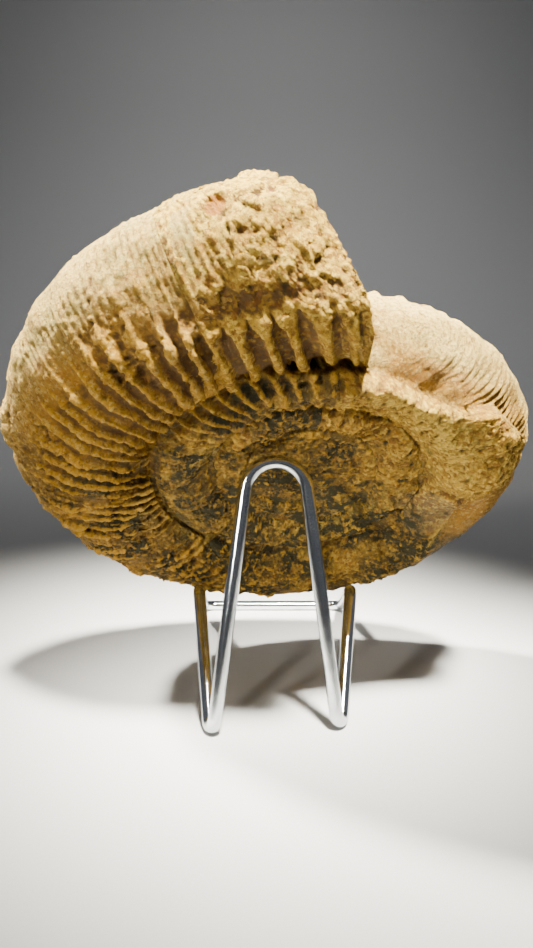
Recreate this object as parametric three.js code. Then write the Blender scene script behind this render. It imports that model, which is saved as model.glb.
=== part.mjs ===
// A fossil ammonite leaning on a bent wire display stand. Millimetres, +Z up.
// The origin is on the surface that the stand stands on, under the middle of the whole object.
// -Y is the side that the tall loop of the stand is on, +Y is the side of its floor bar.
import * as THREE from "three";
import { ParametricGeometry } from "three/addons/geometries/ParametricGeometry.js";
import { mergeVertices } from "three/addons/utils/BufferGeometryUtils.js";

const DEG = Math.PI / 180;
const TURN = 2 * Math.PI;

// Driving dimensions of the fossil
const RADIUS = 97.3; // from the coil's axis to the rim, at the broken end
const SHRINK = 1.605; // how much smaller the whorl is one full turn earlier
const WHORL_DEPTH = 0.266; // half the whorl's height across the coil, as a part of its radius
const WHORL_WIDTH = 0.218; // half the whorl's thickness along the axis, as a part of its radius
const ROUNDNESS = 1.7; // 2 is an ellipse, less gives the flatter flanks and the narrow rim
const HUB_DEPTH = 5.6; // half the thickness of the rock in the hollow middle of the coil
const HUB_RADIUS = 33;
const SKELETON = 50; // radius of the ring inside the whorl from which the surface is measured
const RIBS = 84; // ribs in one turn
const RIB_HEIGHT = 1.4; // from groove to crest
const CRUST = 4.6; // thickness of the rock that sticks to the lower right flank
const BREAK_RIM = 12 * DEG; // where the broken end meets the rim
const BREAK_SLANT = 22 * DEG; // how far the break runs on by the time it reaches the inner flank
const WORN_FROM = -35; // degrees in the section: further than this, the wear at the break is whole
const WORN_TO = 22; // and here it has ended

// Placing of the fossil: how far its top leans over the loop, its turn, and where its axis is
const LEAN = 47.1 * DEG;
const YAW = 3.8 * DEG;
const COIL_START = 86.6 * DEG;
const CENTRE = new THREE.Vector3(8.7, 23.0, 78.45);

// Driving dimensions of the stand
const WIRE = 4.2; // wire diameter
const WIRE_SIDES = 9; // an odd number, so that a flat side of the bar faces down
const FEET_WIDE = 37;
const LOOP_HEIGHT = 77.6; // to the middle of the wire
const LOOP_LEAN = 8.6; // the loop's top stands this far behind the feet
const LOOP_RADIUS = 7.9; // half the loop's width at its top corners
const LOOP_BEND = 8.8;
const FEET_BACK = -2; // where the feet stand, from front to back
const FOOT_SKEW = 2; // one foot stands this much nearer than that, one further
const ARM_TOP = new THREE.Vector3(25, 33.6, 32.8);
const BAR_BACK = 119;
const BAR_WIDE = 62;
const FOOT_BEND = 3.1;
const FOOT_CORNER = -3.026; // height of the corner that a foot's bend rounds; the bend itself ends at 0
const TOP_BEND = 6;
const BAR_BEND = 5;

// Straight interpolation through [x, y] pairs, flat beyond both ends.
function along(points, x) {
  const last = points.length - 1;
  if (x <= points[0][0]) return points[0][1];
  if (x >= points[last][0]) return points[last][1];
  const i = points.findIndex(([px]) => px > x);
  const [x0, y0] = points[i - 1];
  const [x1, y1] = points[i];
  return y0 + ((y1 - y0) * (x - x0)) / (x1 - x0);
}

// True where (r, a), radius and height along the axis, is inside the whorl or one of the whorls before it.
function insideCoil(phi, r, a) {
  if ((r / HUB_RADIUS) ** 2 + (a / HUB_DEPTH) ** 2 < 1) return true;
  for (let turn = 0; turn < 4; turn++) {
    const rim = RADIUS * SHRINK ** (-(phi / TURN) - turn);
    const across = Math.abs((r - (1 - WHORL_DEPTH) * rim) / (WHORL_DEPTH * rim));
    const thick = Math.abs(a / (WHORL_WIDTH * rim));
    if (across ** ROUNDNESS + thick ** ROUNDNESS < 1) return true;
  }
  return false;
}

// Distance from the skeleton ring out to the coil's surface. beta is the direction in the section:
// 0 is outwards to the rim, 90 degrees is straight to the near flank, -90 degrees to the far one.
function reach(phi, beta) {
  const inside = (d) =>
    insideCoil(phi, SKELETON + d * Math.cos(beta), d * Math.sin(beta));
  let far = 70;
  while (far > 1 && !inside(far - 1)) far -= 1;
  let near = far - 1;
  for (let i = 0; i < 20; i++) {
    const middle = (near + far) / 2;
    if (inside(middle)) near = middle;
    else far = middle;
  }
  return near;
}

// Low waves in three directions, each bent by a wave across it, from -1 to 1.
function swell(point, size) {
  const [x, y, z] = point.toArray().map((value) => value / size);
  return (
    (Math.sin(2.1 * x + 1.7 * Math.sin(1.3 * y + 0.5)) +
      Math.sin(2.3 * y + 1.4 * Math.sin(1.1 * z + 1.9)) +
      Math.sin(1.9 * z + 1.6 * Math.sin(1.2 * x + 3.1))) /
    3
  );
}

// The edge of the rock crust: degrees round the coil, and the direction in the section from which
// it covers the near flank in to the coil's middle.
const CRUST_EDGE = [
  [-270, 168],
  [-235, 150],
  [-215, 112],
  [-195, 84],
  [-172, 64],
  [-145, 62],
  [-130, 76],
  [-110, 88],
  [-98, 95],
  [-86, 84],
  [-79, 66],
  [-74, 42],
  [-66, 40],
  [-58, 50],
  [-50, 54],
  [-44, 77],
  [-39, 88],
  [-28, 96],
  [-14, 90],
  [0, 96],
  [12, 118],
  [55, 165],
];

// Degrees round the coil, from -270 to 90, counted from the broken end
function fromBreak(phi) {
  return (phi > Math.PI / 2 ? phi - TURN : phi) / DEG;
}

// 1 where the crust covers the shell, 0 elsewhere, with a steep edge between.
function crustCover(phi, beta) {
  const edge = along(CRUST_EDGE, fromBreak(phi));
  return THREE.MathUtils.smoothstep(beta / DEG, edge - 4, edge + 6);
}

// Thickness of the crust, lumpy, thin in the middle of the coil and under the fossil.
function crustHeight(phi, beta, point) {
  const inward = 1 - 0.75 * THREE.MathUtils.smoothstep(beta / DEG, 105, 150);
  const low = along([[-235, 0.1], [-150, 0.25], [-100, 0.5], [-60, 1]], fromBreak(phi));
  return inward * low * (CRUST + 2.2 * swell(point, 7));
}

// Single lumps and pits: [degrees round the coil, degrees in the section, size in degrees, height]
const LUMPS = [
  [15, 16, 6, 1.2], // ledge on the rim by the broken end
  [2, 14, 8, -6.5], // the corner is gone where the break meets the rim
  [20, 31, 8, -2.4], // pocket under the ledge
  [3, 40, 8, 1.6],
  [82, 6, 4, 1.8], // small bump at the rim
  [255, 100, 14, -4.2], // smooth hollow in the crust
  [232, 75, 9, 2.2],
  [285, 75, 9, 2.4],
  [320, 100, 9, 1.6],
  [150, 60, 12, -1.6],
];

function lumps(phi, beta) {
  let height = 0;
  for (const [at, direction, size, rise] of LUMPS) {
    const apart = phi / DEG - at;
    const across = (beta / DEG - direction) / 2.2;
    height += rise * Math.exp(-(apart ** 2 + across ** 2) / (size * size));
  }
  return height;
}

// The outer whorl is worn down towards its broken end, on its far flank and over the rim.
function worn(phi, beta) {
  const far = 1 - THREE.MathUtils.smoothstep(beta / DEG, WORN_FROM, WORN_TO);
  return far * along([[0, 7], [12, 5.5], [25, 3.2], [50, 0]], phi / DEG);
}

// The ribs swing forward towards the coil's middle, and the columns of the grid go with them.
function swing(round, beta) {
  const whole = along([[40, 0], [57, 1.3], [70, 3.5], [85, 6.3], [100, 7.5]], Math.abs(beta) / DEG);
  return whole * DEG * along([[8, 0], [28, 1], [330, 1], [356, 0]], round / DEG);
}

// Ribs: strong on the far flank and near the broken end, lost in the rough stone further round the
// near flank, weaker over the rim, none on the rock in the middle.
function ribs(phi, beta, round) {
  const strength = along([[0, 0.45], [25, 0.6], [40, 1], [95, 1], [120, 0.7], [140, 0]], Math.abs(beta) / DEG);
  const kept = along([[0, 0.3], [10, 1], [95, 1], [125, 0.55], [190, 0.3], [225, 0]], phi / DEG);
  const near = THREE.MathUtils.smoothstep(beta / DEG, -25, 0);
  return 0.5 * RIB_HEIGHT * strength * (1 - near + near * kept) * Math.cos(RIBS * round);
}

const toPole = Math.PI - Math.atan2(HUB_DEPTH, SKELETON); // direction of the hub's middle
const COLUMNS = 2 * RIBS; // a crest and a groove for each rib
const STEPS = 6; // columns across the broken end

// The surface: u goes once round the coil and then back out over the broken end,
// v goes from the middle of the far side over the rim to the middle of the near side.
function coil(u, v, target) {
  const beta = toPole * Math.sign(2 * v - 1) * Math.abs(2 * v - 1) ** 1.4;
  const slant = Math.min(Math.max(beta / (95 * DEG), 0), 1) ** 0.6;
  const start = BREAK_RIM - BREAK_SLANT * slant;
  const column = u * (COLUMNS + STEPS);
  const round = Math.min(column / COLUMNS, 1);
  const out = Math.max(column - COLUMNS, 0) / STEPS;
  // Near the break the columns lean over to run along its slanting edge.
  const leaning = 1 - THREE.MathUtils.smoothstep(Math.min(round, 1 - round), 0, 0.1);
  const phi = TURN * round + start * leaning + swing(TURN * round, beta);
  const pole = Math.min((toPole - Math.abs(beta)) / (25 * DEG), 1); // 0 at the poles, where all columns meet

  // Height of the surface at one end of the step over the break, or along the coil
  const heightAt = (angle) => {
    const distance = reach(angle, beta);
    place(distance, angle, beta, target);
    const rough = 0.5 * swell(target, 4);
    const cover = crustCover(angle, beta);
    const bare = (1 - cover) * ribs(angle, beta, TURN * round);
    const covered = cover * crustHeight(angle, beta, target);
    return distance + pole * (bare + covered + lumps(angle, beta) - worn(angle, beta) + rough);
  };
  let distance = heightAt(phi);
  let angle = phi;
  if (out > 0) {
    const inner = distance;
    const outer = heightAt(start);
    distance = inner + (outer - inner) * out;
    // The broken face is rough: it bulges and dips between its two edges.
    const waste = Math.min((outer - inner) / 12, 1) * Math.sin(Math.PI * out);
    angle += waste * DEG * (1.5 + 2.4 * Math.sin(0.16 * distance + 4 * beta));
  }
  place(distance, angle, beta, target);
}

// A point by its distance from the skeleton ring, in the coil's own frame: its axis is Z, the near side is up.
function place(distance, phi, beta, target) {
  const r = SKELETON + distance * Math.cos(beta);
  const angle = COIL_START + phi;
  target.set(r * Math.cos(angle), r * Math.sin(angle), distance * Math.sin(beta));
}

// Welds shared vertices and leaves out the triangles that have shrunk to a line at the poles.
function weld(geometry) {
  geometry.deleteAttribute("normal");
  geometry.deleteAttribute("uv");
  const welded = mergeVertices(geometry, 1e-3);
  const corners = welded.index.array;
  const kept = [];
  for (let i = 0; i < corners.length; i += 3) {
    const [a, b, c] = corners.slice(i, i + 3);
    if (a !== b && b !== c && c !== a) kept.push(a, b, c);
  }
  welded.setIndex(kept);
  return welded;
}

function makeAmmonite() {
  const geometry = weld(new ParametricGeometry(coil, COLUMNS + STEPS, 22));
  const stone = new THREE.MeshStandardMaterial({ color: 0xb8893f, roughness: 0.92, metalness: 0 });
  geometry.computeVertexNormals();
  const mesh = new THREE.Mesh(geometry, stone);
  mesh.name = "ammonite";
  mesh.position.copy(CENTRE);
  mesh.rotation.set(90 * DEG + LEAN, 0, YAW, "ZXY");
  return mesh;
}

// The middle line of the bent wire, given at its stations: the ends of the straight lengths
// and a few points round each bend.
class WireLine extends THREE.Curve {
  constructor(corners) {
    super();
    this.stations = [];
    const count = corners.length;
    for (let i = 0; i < count; i++) {
      const [corner, radius, steps] = corners[i];
      if (radius === 0) {
        this.stations.push(corner);
        continue;
      }
      const before = corners[(i + count - 1) % count][0].clone().sub(corner).normalize();
      const after = corners[(i + 1) % count][0].clone().sub(corner).normalize();
      const half = before.angleTo(after) / 2;
      const bisector = before.clone().add(after).normalize();
      const middle = corner.clone().addScaledVector(bisector, radius / Math.sin(half));
      const first = corner.clone().addScaledVector(before, radius / Math.tan(half)).sub(middle);
      const last = corner.clone().addScaledVector(after, radius / Math.tan(half)).sub(middle);
      const sweep = first.angleTo(last);
      for (let k = 0; k <= steps; k++) {
        const t = k / steps;
        const point = first
          .clone()
          .multiplyScalar(Math.sin((1 - t) * sweep))
          .addScaledVector(last, Math.sin(t * sweep))
          .divideScalar(Math.sin(sweep));
        this.stations.push(point.add(middle));
      }
    }
  }

  getUtoTmapping(u) {
    return u;
  }

  getPoint(t, target = new THREE.Vector3()) {
    const count = this.stations.length;
    const place = (((t % 1) + 1) % 1) * count;
    const i = Math.floor(place) % count;
    return target.lerpVectors(this.stations[i], this.stations[(i + 1) % count], place - Math.floor(place));
  }

  getTangent(t, target = new THREE.Vector3()) {
    const step = 0.01 / this.stations.length;
    return target.subVectors(this.getPoint(t + step), this.getPoint(t - step)).normalize();
  }
}

function makeStand() {
  const half = FEET_WIDE / 2;
  const flat = (WIRE / 2) * Math.cos(Math.PI / WIRE_SIDES); // from the wire's middle to its flat side
  const side = (sign) => [
    [new THREE.Vector3((sign * BAR_WIDE) / 2, BAR_BACK, flat), BAR_BEND, 4],
    [new THREE.Vector3(sign * ARM_TOP.x, ARM_TOP.y, ARM_TOP.z), TOP_BEND, 5],
    [new THREE.Vector3(sign * half, FEET_BACK + sign * FOOT_SKEW, FOOT_CORNER - 0.124 * sign), FOOT_BEND, 8],
    [new THREE.Vector3(sign * LOOP_RADIUS, LOOP_LEAN, LOOP_HEIGHT), LOOP_BEND, 7],
  ];
  const corners = [
    [new THREE.Vector3(0, BAR_BACK, flat), 0, 0],
    ...side(1),
    ...side(-1).reverse(),
  ];
  const line = new WireLine(corners);
  const tube = new THREE.TubeGeometry(line, line.stations.length, WIRE / 2, WIRE_SIDES, true);
  const geometry = weld(tube);
  geometry.computeVertexNormals();
  const plated = new THREE.MeshStandardMaterial({ color: 0xc9ccd0, roughness: 0.25, metalness: 1 });
  const mesh = new THREE.Mesh(geometry, plated);
  mesh.name = "wire_stand";
  return mesh;
}

const object = new THREE.Group();
object.add(makeStand(), makeAmmonite());

// Moves the origin to the surface, under the middle of the object's box.
const box = new THREE.Box3().setFromObject(object, true);
const middle = box.getCenter(new THREE.Vector3());
object.position.set(-middle.x, -middle.y, -box.min.z);

export default object;
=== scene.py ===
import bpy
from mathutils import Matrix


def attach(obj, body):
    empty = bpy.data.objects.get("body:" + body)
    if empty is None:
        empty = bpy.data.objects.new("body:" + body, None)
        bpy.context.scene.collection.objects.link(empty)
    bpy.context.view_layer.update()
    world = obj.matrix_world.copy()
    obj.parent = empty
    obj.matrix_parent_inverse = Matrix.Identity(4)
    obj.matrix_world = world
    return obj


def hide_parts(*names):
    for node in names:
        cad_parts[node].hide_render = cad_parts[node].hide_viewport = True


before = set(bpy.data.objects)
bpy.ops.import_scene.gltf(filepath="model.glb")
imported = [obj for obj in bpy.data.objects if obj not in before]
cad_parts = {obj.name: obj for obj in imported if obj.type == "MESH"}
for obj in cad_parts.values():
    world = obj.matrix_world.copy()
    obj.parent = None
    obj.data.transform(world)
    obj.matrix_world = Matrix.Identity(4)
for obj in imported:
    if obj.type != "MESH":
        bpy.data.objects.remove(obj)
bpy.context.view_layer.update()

import math

import bpy
import numpy as np
from mathutils import Vector

# The camera
# It stands where the photograph was taken from: on the side of the stand's tall loop, level with
# the fossil and looking a little down, with the wide view of a phone held close.
SENSOR_HEIGHT = 24.0
PHOTO_HEIGHT = 948  # pixels
FOCAL_LENGTH = 716  # pixels
CAMERA_PLACE = (-0.00206, -0.23315, 0.09681)
CAMERA_DROP = 6.28  # degrees below level
camera_data = bpy.data.cameras.new("camera")
camera_data.sensor_fit = "VERTICAL"
camera_data.sensor_height = SENSOR_HEIGHT
camera_data.lens = SENSOR_HEIGHT * FOCAL_LENGTH / PHOTO_HEIGHT
camera_data.clip_start = 0.01
camera = bpy.data.objects.new("camera", camera_data)
camera.location = CAMERA_PLACE
camera.rotation_euler = (math.radians(90 - CAMERA_DROP), 0, 0)
bpy.context.scene.collection.objects.link(camera)
bpy.context.scene.camera = camera


# The floor and the light
# A pale sheet of paper lies on the table and sweeps up behind the object. Soft lamps stand above
# in front and at the upper left, as in the photograph. A weak one fills from the front left, and
# one lights the sheet behind.
class Tone:
    """An output of a shader node. Arithmetic on it adds Math nodes to its material."""

    def __init__(self, tree, socket=None):
        self.tree = tree
        self.socket = socket

    def add(self, kind, settings=None, sockets=None, out=0):
        """A new node of this kind. Its settings come first, then the values or links of its sockets."""
        node = self.tree.nodes.new("ShaderNode" + kind)
        for name, value in (settings or {}).items():
            setattr(node, name, value)
        for name, value in (sockets or {}).items():
            if isinstance(value, Tone):
                self.tree.links.new(value.socket, node.inputs[name])
            elif isinstance(value, tuple) and len(value) == 3 and node.inputs[name].type == "RGBA":
                node.inputs[name].default_value = (*value, 1.0)
            else:
                node.inputs[name].default_value = value
        return Tone(self.tree, node.outputs[out])

    def math(self, operation, a, b):
        return self.add("Math", {"operation": operation}, {0: a, 1: b})

    def __add__(self, other):
        return self.math("ADD", self, other)

    __radd__ = __add__

    def __sub__(self, other):
        return self.math("SUBTRACT", self, other)

    def __rsub__(self, other):
        return self.math("SUBTRACT", other, self)

    def __mul__(self, other):
        return self.math("MULTIPLY", self, other)

    __rmul__ = __mul__

    def step(self, low, high):
        """0 below low, 1 above high, smooth between."""
        sockets = {"Value": self, "From Min": low, "From Max": high}
        return self.add("MapRange", {"interpolation_type": "SMOOTHSTEP"}, sockets)

    def blend(self, first, second):
        """The first colour where this is 0, the second where it is 1."""
        return self.add("Mix", {"data_type": "RGBA"}, {0: self, 6: first, 7: second}, out=2)


def new_material(name):
    """A material with its shader and its output, and a Tone to build its nodes from."""
    material = bpy.data.materials.new(name)
    material.use_nodes = True
    shader = material.node_tree.nodes["Principled BSDF"]
    return material, shader, Tone(material.node_tree)


def mesh_piece(name, points, faces, material):
    """An object whose mesh has these points, in metres, and these faces."""
    mesh = bpy.data.meshes.new(name)
    mesh.from_pydata(points.tolist(), [], faces)
    mesh.shade_smooth()
    mesh.materials.append(material)
    piece = bpy.data.objects.new(name, mesh)
    bpy.context.scene.collection.objects.link(piece)
    return piece


def quads(rows, columns, ring=False):
    """Corner numbers of the faces of a grid, row by row. A ring joins its last column to its first."""
    across = np.arange(columns if ring else columns - 1)
    beside = (across + 1) % columns
    down = np.arange(rows - 1)[:, None] * columns
    below = down + columns
    return np.stack([down + across, down + beside, below + beside, below + across], -1).reshape(-1, 4)


PAPER_DARK = (0.50, 0.50, 0.495)
PAPER_LIGHT = (0.54, 0.54, 0.535)
paper, paper_shader, start = new_material("pale_paper")
place = start.add("TexCoord", out=3)  # object coordinates
fibre = start.add("TexNoise", {}, {"Vector": place, "Scale": 900.0, "Detail": 2.0})
paper_shader.inputs["Roughness"].default_value = 0.75
paper.node_tree.links.new(fibre.blend(PAPER_DARK, PAPER_LIGHT).socket, paper_shader.inputs["Base Color"])
# The sheet is flat from well in front of the camera to behind the object, then bends up in a
# quarter circle. It lies a hair under the wire. Metres.
SHEET_HALF_WIDTH = 2.2
SHEET_FRONT = -1.6
SHEET_BEND = 0.6
BEND_RADIUS = 0.7
SHEET_TOP = 2.4
SHEET_DROP = 0.00007
bend = np.linspace(0, math.pi / 2, 25)
sweep_y = SHEET_BEND + BEND_RADIUS * np.sin(bend)
sweep_y = np.concatenate([[SHEET_FRONT], sweep_y, [SHEET_BEND + BEND_RADIUS]])
sweep_z = np.concatenate([[0.0], BEND_RADIUS - BEND_RADIUS * np.cos(bend), [SHEET_TOP]]) - SHEET_DROP
sides = np.repeat(np.array([[-SHEET_HALF_WIDTH, SHEET_HALF_WIDTH]]), len(sweep_y), 0)
sheet = np.stack([sides, np.repeat(sweep_y[:, None], 2, 1), np.repeat(sweep_z[:, None], 2, 1)], -1)
floor = mesh_piece("floor", sheet.reshape(-1, 3), quads(len(sweep_y), 2).tolist(), paper)


def lamp(name, place, aim, size, watts, spread, colour=(1.0, 1.0, 1.0)):
    """A square soft lamp at a place, turned to the point that it is aimed at. A grid in front of it
    keeps its light within this angle, in degrees."""
    data = bpy.data.lights.new(name, "AREA")
    data.size = size
    data.energy = watts
    data.color = colour
    data.spread = math.radians(spread)
    light = bpy.data.objects.new(name, data)
    light.location = place
    light.rotation_euler = (Vector(place) - Vector(aim)).to_track_quat("Z", "Y").to_euler()
    bpy.context.scene.collection.objects.link(light)


WARM = (1.0, 0.95, 0.84)
NARROW = 16
lamp("lamp_above", (0.12, -0.42, 0.85), (0.01, -0.03, 0.13), 0.12, 1.42, NARROW, WARM)
lamp("lamp_left", (-0.45, 0.05, 0.75), (-0.02, -0.02, 0.12), 0.12, 0.9, NARROW, WARM)
lamp("lamp_front", (-0.45, -0.66, 0.25), (0.0, -0.02, 0.09), 0.08, 0.08, NARROW, WARM)
lamp("lamp_back", (0.0, 0.45, 1.3), (0.0, 1.1, 0.2), 0.6, 1.6, 90)
world = bpy.data.worlds.new("studio")
world.use_nodes = True
sky = world.node_tree.nodes["Background"]
sky.inputs["Color"].default_value = (0.9, 0.93, 1.0, 1.0)
sky.inputs["Strength"].default_value = 0.12
bpy.context.scene.world = world


# The stand
# One length of round steel wire, bright plated, bent and joined in a closed loop: a tall narrow
# arch in front, two pointed feet, two arms that carry the fossil, and a bar on the floor.
MM = 0.001
TURN = 2 * math.pi
WIRE = 4.12  # mm thick
WIRE_SIDES = 28
STEP = 4  # mm between the rows of a straight length, at most
BEND_STEPS = 15
STAND_MOVE = np.array([0.7075, -35.5552, 0.0073])  # mm, puts the middle of the whole object's box at 0
# The corners of the wire's right half in mm, each with the radius of its bend. The left half
# mirrors them, and then the right foot is moved by FOOT_SKEW and the left foot the other way.
CORNERS = {
    "bar": ((31, 119, 1.973), 5),
    "arm": ((25, 33.6, 32.8), 6),
    "foot": ((18.5, -2, -3.026), 3.1),
    "loop": ((7.9, 8.6, 77.6), 8.8),
}
FOOT_SKEW = np.array([0, 2, -0.124])


def wire_line():
    """Points along the middle of the wire, once round: straight lengths, and an arc at each corner."""
    corners = []
    for sign in (1, -1):
        half = []
        for name, ((x, y, z), radius) in CORNERS.items():
            skew = sign * FOOT_SKEW if name == "foot" else 0
            half.append((np.array([sign * x, y, z]) + skew, radius))
        corners += half if sign > 0 else half[::-1]
    stations = []
    for n, (corner, radius) in enumerate(corners):
        before = corners[n - 1][0] - corner
        after = corners[(n + 1) % len(corners)][0] - corner
        before, after = before / np.linalg.norm(before), after / np.linalg.norm(after)
        half = math.acos(before @ after) / 2
        middle = corner + (before + after) / np.linalg.norm(before + after) * radius / math.sin(half)
        first = corner + before * radius / math.tan(half) - middle
        last = corner + after * radius / math.tan(half) - middle
        sweep = math.pi - 2 * half
        t = np.linspace(0, 1, BEND_STEPS)[:, None]
        arc = (first * np.sin((1 - t) * sweep) + last * np.sin(t * sweep)) / math.sin(sweep)
        stations.append(middle + arc)
    bends = np.vstack(stations)
    # Extra points along each straight length
    line = []
    for a, b in zip(bends, np.roll(bends, -1, 0)):
        count = max(1, int(np.linalg.norm(b - a) / STEP))
        line.append(a + (b - a) * (np.arange(count) / count)[:, None])
    return np.vstack(line) + STAND_MOVE


line = wire_line()
ahead = np.roll(line, -1, 0) - np.roll(line, 1, 0)
ahead /= np.linalg.norm(ahead, axis=1, keepdims=True)
# A side direction carried along the wire without twist, and the twist at its end shared out.
sideways = np.empty_like(line)
sideways[0] = np.cross(ahead[0], (0, 0, 1.0))
sideways[0] /= np.linalg.norm(sideways[0])
for n in range(1, len(line)):
    sideways[n] = sideways[n - 1] - ahead[n] * (sideways[n - 1] @ ahead[n])
    sideways[n] /= np.linalg.norm(sideways[n])
closing = sideways[-1] - ahead[0] * (sideways[-1] @ ahead[0])
miss = math.atan2(np.cross(closing, sideways[0]) @ ahead[0], closing @ sideways[0])
upward = np.cross(ahead, sideways)
untwist = miss * np.arange(len(line))[:, None] / len(line)
around = np.linspace(0, TURN, WIRE_SIDES, endpoint=False)[None] + untwist
wire_points = line[:, None] + WIRE / 2 * (
    np.cos(around)[..., None] * sideways[:, None] + np.sin(around)[..., None] * upward[:, None]
)
# The last row joins the first.
wire_faces = quads(len(line) + 1, WIRE_SIDES, ring=True) % (len(line) * WIRE_SIDES)

PLATING_LIGHT = (0.80, 0.83, 0.85)
PLATING_DARK = (0.62, 0.65, 0.68)
plated, plated_shader, start = new_material("plated_wire")
place = start.add("TexCoord", out=3)
streak = start.add("TexNoise", {}, {"Vector": place, "Scale": 2600.0, "Detail": 3.0, "Roughness": 0.6})
cloud = start.add("TexNoise", {}, {"Vector": place, "Scale": 180.0, "Detail": 3.0})
tint = cloud.step(0.35, 0.7).blend(PLATING_LIGHT, PLATING_DARK)
plated.node_tree.links.new(tint.socket, plated_shader.inputs["Base Color"])
roughness = 0.03 + 0.08 * cloud + 0.03 * streak
plated.node_tree.links.new(roughness.socket, plated_shader.inputs["Roughness"])
bump = start.add("Bump", {}, {"Strength": 0.2, "Distance": 0.0002, "Height": streak})
plated.node_tree.links.new(bump.socket, plated_shader.inputs["Normal"])
plated_shader.inputs["Metallic"].default_value = 1.0
wire = mesh_piece("bent_wire", wire_points.reshape(-1, 3) * MM, wire_faces[:, ::-1].tolist(), plated)
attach(wire, "root")
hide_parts("wire_stand")


# The fossil's shell
# A ribbed coil of yellow limestone, the stone cast of the shell. Its whorls touch, and the outer
# one ends at a break. The whole coil leans over the stand's loop.
DEG = math.pi / 180
RADIUS = 97.3  # mm from the coil's axis to the rim, at the broken end
SHRINK = 1.605  # how many times larger the rim is than one turn before
WHORL_DEPTH = 0.266  # half the whorl's section from rim to hollow, as a share of the rim's radius
WHORL_WIDTH = 0.218  # half the whorl's section from flank to flank, as a share of it too
ROUNDNESS = 1.7  # exponent of the section: 2 is an ellipse, and less is more pointed
SEAM_UP, SEAM_OUT = 11.3, 51.3  # mm from the coil's plane and axis to the seam, at the broken end
HUB_DEPTH = 5.6  # mm, half the thickness of the stone in the coil's middle
HUB_RADIUS = 33  # mm
SKELETON = 50  # mm, radius of the ring inside the whorl that directions in the section start from
RIBS = 84
FINER_RIBS = 156
RIB_HEIGHT = 1.8  # mm
BREAK_RIM = 12 * DEG  # turn of the break at the rim
BREAK_SLANT = 22 * DEG  # how far the break runs back from there to the near side's seam
LEAN = 47.1 * DEG
YAW = 3.8 * DEG
COIL_START = 86.6 * DEG
CENTRE = np.array([8.7, 23.0, 78.45]) + STAND_MOVE  # mm
TO_POLE = math.pi - math.atan2(HUB_DEPTH, SKELETON)
POLE_FADE = 25 * DEG
WIRE_GAP = 0.15  # mm that the stone keeps from the wire
TURNS = 4  # turns of the whorl that the section has
FARTHEST = 70  # mm, further from the ring than any surface
HALVINGS = 14
CRUST = 4.6  # mm, thickness of the rock
# The edge of the rock crust: degrees round the coil from the broken end, and degrees in the section
CRUST_EDGE = (
    [-270, -235, -215, -195, -172, -145, -130, -110, -98, -86, -79,
     -74, -66, -58, -50, -44, -39, -28, -14, 0, 12, 55],
    [168, 150, 112, 84, 64, 62, 76, 88, 95, 84, 66,
     42, 40, 50, 54, 77, 88, 96, 90, 96, 118, 165],
)
# Lumps and pits: degrees round the coil, degrees in the section, size in degrees, height in mm
LUMPS = [
    (15, 16, 6, 1.2),
    (2, 14, 8, -6.5),
    (20, 31, 8, -2.4),
    (3, 40, 8, 1.6),
    (82, 6, 4, 1.8),
    (255, 100, 14, -4.2),
    (232, 75, 9, 2.2),
    (285, 75, 9, 2.4),
    (320, 100, 9, 1.6),
    (150, 60, 12, -1.6),
]


def smooth(value, low, high):
    """0 below low, 1 above high, with a smooth S between. High may be the lower number."""
    t = np.clip((value - low) / (high - low), 0, 1)
    return t * t * (3 - 2 * t)


def inside_coil(phi, r, a):
    """True inside the hub's ellipse, or inside the superellipse of one of the turns of the whorl,
    whose rim shrinks by the same share in each turn."""
    found = (r / HUB_RADIUS) ** 2 + (a / HUB_DEPTH) ** 2 < 1
    for turn in range(TURNS):
        rim = RADIUS * SHRINK ** (-phi / TURN - turn)
        across = np.abs(r - (1 - WHORL_DEPTH) * rim) / (WHORL_DEPTH * rim)
        thick = np.abs(a) / (WHORL_WIDTH * rim)
        found |= across**ROUNDNESS + thick**ROUNDNESS < 1
    return found


def reach(phi, beta):
    """Distance from the ring inside the whorl out to the coil's surface in the direction beta of the
    section, found by stepping in by 1 mm at a time and then halving the last step."""
    east, up = np.cos(beta), np.sin(beta)
    far = np.full(phi.shape, float(FARTHEST))
    for step in range(FARTHEST - 1, 0, -1):
        open_yet = ~inside_coil(phi, SKELETON + step * east, step * up) & (far == step + 1)
        far = np.where(open_yet, step, far)
    near = far - 1
    for _ in range(HALVINGS):
        middle = (near + far) / 2
        hit = inside_coil(phi, SKELETON + middle * east, middle * up)
        near, far = np.where(hit, middle, near), np.where(hit, far, middle)
    return near


def at_radius(phi, r, height):
    """Points in the coil's own frame, in mm: along a ray at this turn, and up from the coil's plane."""
    angle = COIL_START + phi
    return np.stack([r * np.cos(angle), r * np.sin(angle), height], -1)


def in_coil(distance, phi, beta):
    """Points in the coil's own frame, in mm, from the distance, the turn and the direction."""
    return at_radius(phi, SKELETON + distance * np.cos(beta), distance * np.sin(beta))


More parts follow.
